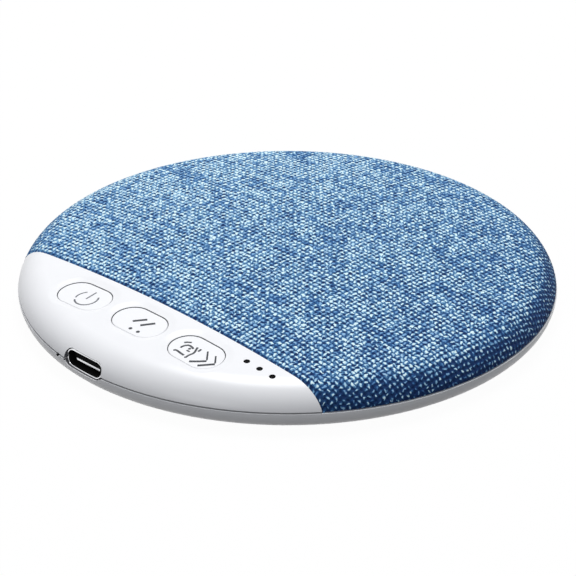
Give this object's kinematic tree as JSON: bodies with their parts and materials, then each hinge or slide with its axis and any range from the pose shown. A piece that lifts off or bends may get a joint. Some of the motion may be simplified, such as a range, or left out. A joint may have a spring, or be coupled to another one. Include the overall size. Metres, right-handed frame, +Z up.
{
  "type": "pillow speaker",
  "caption": "Thin disc loudspeaker for under a pillow: fabric covered domed top, white control panel with keys, status lights and a charging port in the rim.",
  "frame": {"origin": "centre of the disc, on the surface that the feet stand on", "axes": "+Z up through the crown, -Y towards the control panel and the charging port, +X towards the status lights"},
  "size_m": [0.095, 0.0949, 0.0111],
  "materials": {
    "white_plastic": "white satin moulded plastic",
    "key_plastic": "white satin moulded plastic, a little brighter than the panel",
    "black_plastic": "black moulded plastic",
    "blue_fabric": "blue melange plain weave",
    "smoked_plastic": "dark smoked light pipes",
    "led_plastic": "ivory moulded plastic",
    "steel": "plated steel",
    "bright_steel": "bright drawn steel",
    "frame_steel": "black coated steel",
    "magnet": "nickel plated magnet",
    "copper": "enamelled copper wire",
    "cone_film": "thin black film",
    "surround_rubber": "soft black rubber roll",
    "foam": "dark foam tape",
    "board": "green solder mask on glass laminate",
    "cell_foil": "silver pouch foil",
    "lead_sleeve": "red insulation",
    "foot_rubber": "light grey rubber"
  },
  "bodies": {
    "root": {"bottom_cover": "white_plastic", "control_panel": "white_plastic", "grille_plate": "black_plastic", "fabric_cover": "blue_fabric", "power_switch": "steel", "back_switch": "steel", "forward_switch": "steel", "main_board": "board", "usb_shell": "bright_steel", "usb_tongue": "black_plastic", "light_guide": "smoked_plastic", "status_leds": "led_plastic", "microphone": "steel", "main_chip": "black_plastic", "amplifier_chip": "black_plastic", "battery_cell": "cell_foil", "battery_pad": "foam", "battery_socket": "led_plastic", "battery_leads": "lead_sleeve", "driver_frame": "frame_steel", "driver_yoke": "steel", "driver_magnet": "magnet", "driver_pole_plate": "steel", "cone_surround": "surround_rubber", "driver_gasket": "foam", "driver_terminal": "board", "speaker_socket": "led_plastic", "speaker_leads": "lead_sleeve", "housing_screws": "steel", "board_screws": "steel", "foot_front_left": "foot_rubber", "foot_front_right": "foot_rubber", "foot_rear_left": "foot_rubber", "foot_rear_right": "foot_rubber"},
    "power_key": {"power_key": "key_plastic", "power_plunger": "black_plastic"},
    "back_key": {"back_key": "key_plastic", "back_plunger": "black_plastic"},
    "forward_key": {"forward_key": "key_plastic", "forward_plunger": "black_plastic"},
    "cone": {"driver_cone": "cone_film", "voice_coil": "copper"}
  },
  "joints": [
    {"name": "power_key_press", "type": "slide", "parent": "root", "child": "power_key", "axis": [0, 0, -1], "range_m": [0, 0.0003], "stiffness_N_per_m": 800},
    {"name": "back_key_press", "type": "slide", "parent": "root", "child": "back_key", "axis": [0, 0, -1], "range_m": [0, 0.0003], "stiffness_N_per_m": 800},
    {"name": "forward_key_press", "type": "slide", "parent": "root", "child": "forward_key", "axis": [0, 0, -1], "range_m": [0, 0.0003], "stiffness_N_per_m": 800},
    {"name": "cone_travel", "type": "slide", "parent": "root", "child": "cone", "axis": [0, 0, 1], "range_m": [-0.0003, 0.0003], "stiffness_N_per_m": 600, "deforming": ["cone_surround"]}
  ]
}
